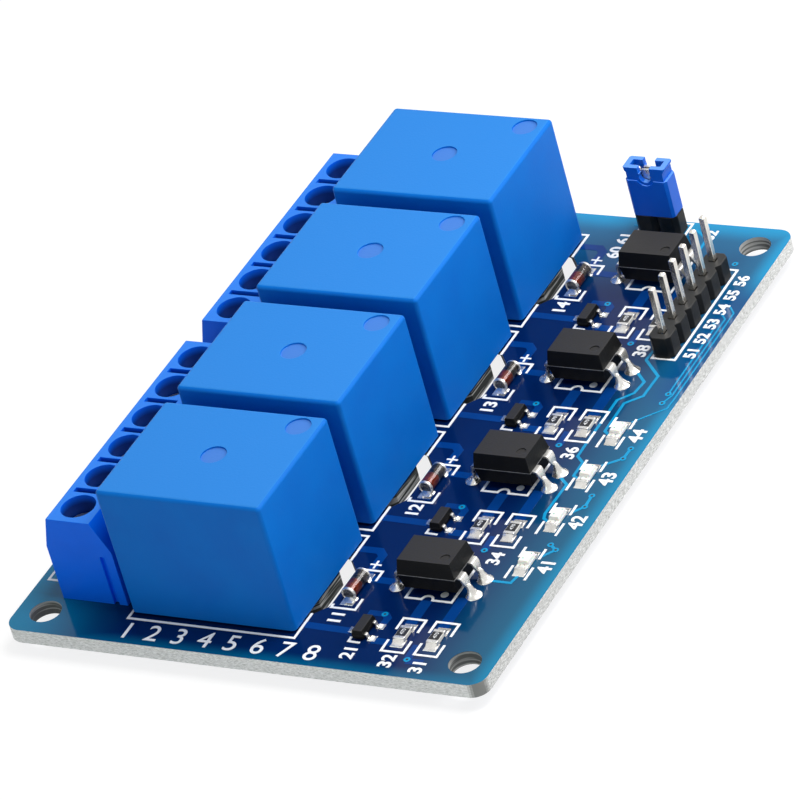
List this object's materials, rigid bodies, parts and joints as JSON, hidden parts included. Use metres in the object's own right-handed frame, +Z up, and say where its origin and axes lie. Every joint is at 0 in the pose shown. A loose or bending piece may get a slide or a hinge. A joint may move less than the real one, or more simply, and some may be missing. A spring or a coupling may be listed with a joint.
{
  "type": "relay module board",
  "caption": "Flat circuit board with box-shaped relays along the middle, rising-clamp screw terminals on one side and an optocoupled driver section with pin headers on the other.",
  "frame": {"origin": "middle of the bounding box's underside, level with the trimmed pin ends under the board", "axes": "+Y along the board's long side, towards the jumper header; +X across it, from the screw terminals towards the input header; +Z up, out of the component side"},
  "size_m": [0.055, 0.0766, 0.0187],
  "materials": {
    "solder_mask_blue": "glossy blue solder mask",
    "relay_blue": "satin blue moulding",
    "relay_base_blue": "dark blue moulding",
    "magnet_iron": "nickel-plated iron",
    "white_nylon": "white moulding",
    "enamelled_copper": "enamelled copper wire",
    "tinned_brass": "tin-plated brass",
    "tinned_lead": "tinned lead",
    "solder": "bright solder",
    "terminal_blue": "satin blue moulding",
    "zinc_plated_steel": "zinc-plated steel",
    "black_mould": "black epoxy moulding",
    "resistor_black": "glazed chip with tinned ends",
    "diode_glass": "glass body with tinned ends",
    "lamp_white": "milky epoxy block",
    "header_black": "black moulding",
    "header_pin_metal": "plated square pin",
    "jumper_blue": "glossy blue moulding",
    "clip_metal": "plated spring metal"
  },
  "bodies": {
    "board": {"circuit_board": "solder_mask_blue", "relay_cover_1": "relay_blue", "relay_cover_2": "relay_blue", "relay_cover_3": "relay_blue", "relay_cover_4": "relay_blue", "relay_base_1": "relay_base_blue", "relay_base_2": "relay_base_blue", "relay_base_3": "relay_base_blue", "relay_base_4": "relay_base_blue", "relay_bobbins": "white_nylon", "relay_coils": "enamelled_copper", "relay_cores": "magnet_iron", "relay_yokes": "magnet_iron", "relay_fixed_contacts": "tinned_brass", "relay_coil_pins": "tinned_lead", "terminal_block_1": "terminal_blue", "terminal_block_2": "terminal_blue", "terminal_pins": "tinned_brass", "optocoupler_bodies": "black_mould", "optocoupler_leads": "tinned_lead", "solder_joints": "solder", "diodes": "diode_glass", "transistors": "black_mould", "resistors": "resistor_black", "indicator_lamps": "lamp_white", "input_header_body": "header_black", "input_header_pins": "header_pin_metal", "jumper_header_body": "header_black", "jumper_header_pins": "header_pin_metal"},
    "screw_01": {"terminal_screw_01": "zinc_plated_steel"},
    "clamp_01": {"terminal_clamp_01": "zinc_plated_steel"},
    "screw_02": {"terminal_screw_02": "zinc_plated_steel"},
    "clamp_02": {"terminal_clamp_02": "zinc_plated_steel"},
    "screw_03": {"terminal_screw_03": "zinc_plated_steel"},
    "clamp_03": {"terminal_clamp_03": "zinc_plated_steel"},
    "screw_04": {"terminal_screw_04": "zinc_plated_steel"},
    "clamp_04": {"terminal_clamp_04": "zinc_plated_steel"},
    "screw_05": {"terminal_screw_05": "zinc_plated_steel"},
    "clamp_05": {"terminal_clamp_05": "zinc_plated_steel"},
    "screw_06": {"terminal_screw_06": "zinc_plated_steel"},
    "clamp_06": {"terminal_clamp_06": "zinc_plated_steel"},
    "screw_07": {"terminal_screw_07": "zinc_plated_steel"},
    "clamp_07": {"terminal_clamp_07": "zinc_plated_steel"},
    "screw_08": {"terminal_screw_08": "zinc_plated_steel"},
    "clamp_08": {"terminal_clamp_08": "zinc_plated_steel"},
    "screw_09": {"terminal_screw_09": "zinc_plated_steel"},
    "clamp_09": {"terminal_clamp_09": "zinc_plated_steel"},
    "screw_10": {"terminal_screw_10": "zinc_plated_steel"},
    "clamp_10": {"terminal_clamp_10": "zinc_plated_steel"},
    "screw_11": {"terminal_screw_11": "zinc_plated_steel"},
    "clamp_11": {"terminal_clamp_11": "zinc_plated_steel"},
    "screw_12": {"terminal_screw_12": "zinc_plated_steel"},
    "clamp_12": {"terminal_clamp_12": "zinc_plated_steel"},
    "armature_1": {"relay_armature_1": "magnet_iron"},
    "armature_2": {"relay_armature_2": "magnet_iron"},
    "armature_3": {"relay_armature_3": "magnet_iron"},
    "armature_4": {"relay_armature_4": "magnet_iron"},
    "jumper": {"jumper_cap": "jumper_blue", "jumper_clip": "clip_metal"}
  },
  "joints": [
    {"name": "screw_turn_01", "type": "hinge", "parent": "board", "child": "screw_01", "pos_m": [-0.0199, -0.03014, 0.0105], "axis": [0, 0, -1], "range_deg": [0, 1368]},
    {"name": "clamp_rise_01", "type": "slide", "parent": "board", "child": "clamp_01", "axis": [0, 0, 1], "range_m": [0, 0.0019]},
    {"name": "screw_turn_02", "type": "hinge", "parent": "board", "child": "screw_02", "pos_m": [-0.0199, -0.02506, 0.0105], "axis": [0, 0, -1], "range_deg": [0, 1368]},
    {"name": "clamp_rise_02", "type": "slide", "parent": "board", "child": "clamp_02", "axis": [0, 0, 1], "range_m": [0, 0.0019]},
    {"name": "screw_turn_03", "type": "hinge", "parent": "board", "child": "screw_03", "pos_m": [-0.0199, -0.01998, 0.0105], "axis": [0, 0, -1], "range_deg": [0, 1368]},
    {"name": "clamp_rise_03", "type": "slide", "parent": "board", "child": "clamp_03", "axis": [0, 0, 1], "range_m": [0, 0.0019]},
    {"name": "screw_turn_04", "type": "hinge", "parent": "board", "child": "screw_04", "pos_m": [-0.0199, -0.0149, 0.0105], "axis": [0, 0, -1], "range_deg": [0, 1368]},
    {"name": "clamp_rise_04", "type": "slide", "parent": "board", "child": "clamp_04", "axis": [0, 0, 1], "range_m": [0, 0.0019]},
    {"name": "screw_turn_05", "type": "hinge", "parent": "board", "child": "screw_05", "pos_m": [-0.0199, -0.00982, 0.0105], "axis": [0, 0, -1], "range_deg": [0, 1368]},
    {"name": "clamp_rise_05", "type": "slide", "parent": "board", "child": "clamp_05", "axis": [0, 0, 1], "range_m": [0, 0.0019]},
    {"name": "screw_turn_06", "type": "hinge", "parent": "board", "child": "screw_06", "pos_m": [-0.0199, -0.00474, 0.0105], "axis": [0, 0, -1], "range_deg": [0, 1368]},
    {"name": "clamp_rise_06", "type": "slide", "parent": "board", "child": "clamp_06", "axis": [0, 0, 1], "range_m": [0, 0.0019]},
    {"name": "screw_turn_07", "type": "hinge", "parent": "board", "child": "screw_07", "pos_m": [-0.0199, 0.00394, 0.0105], "axis": [0, 0, -1], "range_deg": [0, 1368]},
    {"name": "clamp_rise_07", "type": "slide", "parent": "board", "child": "clamp_07", "axis": [0, 0, 1], "range_m": [0, 0.0019]},
    {"name": "screw_turn_08", "type": "hinge", "parent": "board", "child": "screw_08", "pos_m": [-0.0199, 0.00902, 0.0105], "axis": [0, 0, -1], "range_deg": [0, 1368]},
    {"name": "clamp_rise_08", "type": "slide", "parent": "board", "child": "clamp_08", "axis": [0, 0, 1], "range_m": [0, 0.0019]},
    {"name": "screw_turn_09", "type": "hinge", "parent": "board", "child": "screw_09", "pos_m": [-0.0199, 0.0141, 0.0105], "axis": [0, 0, -1], "range_deg": [0, 1368]},
    {"name": "clamp_rise_09", "type": "slide", "parent": "board", "child": "clamp_09", "axis": [0, 0, 1], "range_m": [0, 0.0019]},
    {"name": "screw_turn_10", "type": "hinge", "parent": "board", "child": "screw_10", "pos_m": [-0.0199, 0.01918, 0.0105], "axis": [0, 0, -1], "range_deg": [0, 1368]},
    {"name": "clamp_rise_10", "type": "slide", "parent": "board", "child": "clamp_10", "axis": [0, 0, 1], "range_m": [0, 0.0019]},
    {"name": "screw_turn_11", "type": "hinge", "parent": "board", "child": "screw_11", "pos_m": [-0.0199, 0.02426, 0.0105], "axis": [0, 0, -1], "range_deg": [0, 1368]},
    {"name": "clamp_rise_11", "type": "slide", "parent": "board", "child": "clamp_11", "axis": [0, 0, 1], "range_m": [0, 0.0019]},
    {"name": "screw_turn_12", "type": "hinge", "parent": "board", "child": "screw_12", "pos_m": [-0.0199, 0.02934, 0.0105], "axis": [0, 0, -1], "range_deg": [0, 1368]},
    {"name": "clamp_rise_12", "type": "slide", "parent": "board", "child": "clamp_12", "axis": [0, 0, 1], "range_m": [0, 0.0019]},
    {"name": "armature_tilt_1", "type": "hinge", "parent": "board", "child": "armature_1", "pos_m": [0.00195, -0.02625, 0.01492], "axis": [0, -1, 0], "range_deg": [0, 2.4], "stiffness_Nm_per_rad": 0.0005, "springref_deg": -14.32},
    {"name": "armature_tilt_2", "type": "hinge", "parent": "board", "child": "armature_2", "pos_m": [0.00195, -0.00875, 0.01492], "axis": [0, -1, 0], "range_deg": [0, 2.4], "stiffness_Nm_per_rad": 0.0005, "springref_deg": -14.32},
    {"name": "armature_tilt_3", "type": "hinge", "parent": "board", "child": "armature_3", "pos_m": [0.00195, 0.00875, 0.01492], "axis": [0, -1, 0], "range_deg": [0, 2.4], "stiffness_Nm_per_rad": 0.0005, "springref_deg": -14.32},
    {"name": "armature_tilt_4", "type": "hinge", "parent": "board", "child": "armature_4", "pos_m": [0.00195, 0.02625, 0.01492], "axis": [0, -1, 0], "range_deg": [0, 2.4], "stiffness_Nm_per_rad": 0.0005, "springref_deg": -14.32},
    {"name": "jumper_pull", "type": "slide", "parent": "board", "child": "jumper", "axis": [0, 0, 1], "range_m": [0, 0.006]}
  ],
  "couplings": [
    {"joint": "screw_turn_01", "follows": "clamp_rise_01", "rad_per_m": 12566},
    {"joint": "screw_turn_02", "follows": "clamp_rise_02", "rad_per_m": 12566},
    {"joint": "screw_turn_03", "follows": "clamp_rise_03", "rad_per_m": 12566},
    {"joint": "screw_turn_04", "follows": "clamp_rise_04", "rad_per_m": 12566},
    {"joint": "screw_turn_05", "follows": "clamp_rise_05", "rad_per_m": 12566},
    {"joint": "screw_turn_06", "follows": "clamp_rise_06", "rad_per_m": 12566},
    {"joint": "screw_turn_07", "follows": "clamp_rise_07", "rad_per_m": 12566},
    {"joint": "screw_turn_08", "follows": "clamp_rise_08", "rad_per_m": 12566},
    {"joint": "screw_turn_09", "follows": "clamp_rise_09", "rad_per_m": 12566},
    {"joint": "screw_turn_10", "follows": "clamp_rise_10", "rad_per_m": 12566},
    {"joint": "screw_turn_11", "follows": "clamp_rise_11", "rad_per_m": 12566},
    {"joint": "screw_turn_12", "follows": "clamp_rise_12", "rad_per_m": 12566}
  ]
}
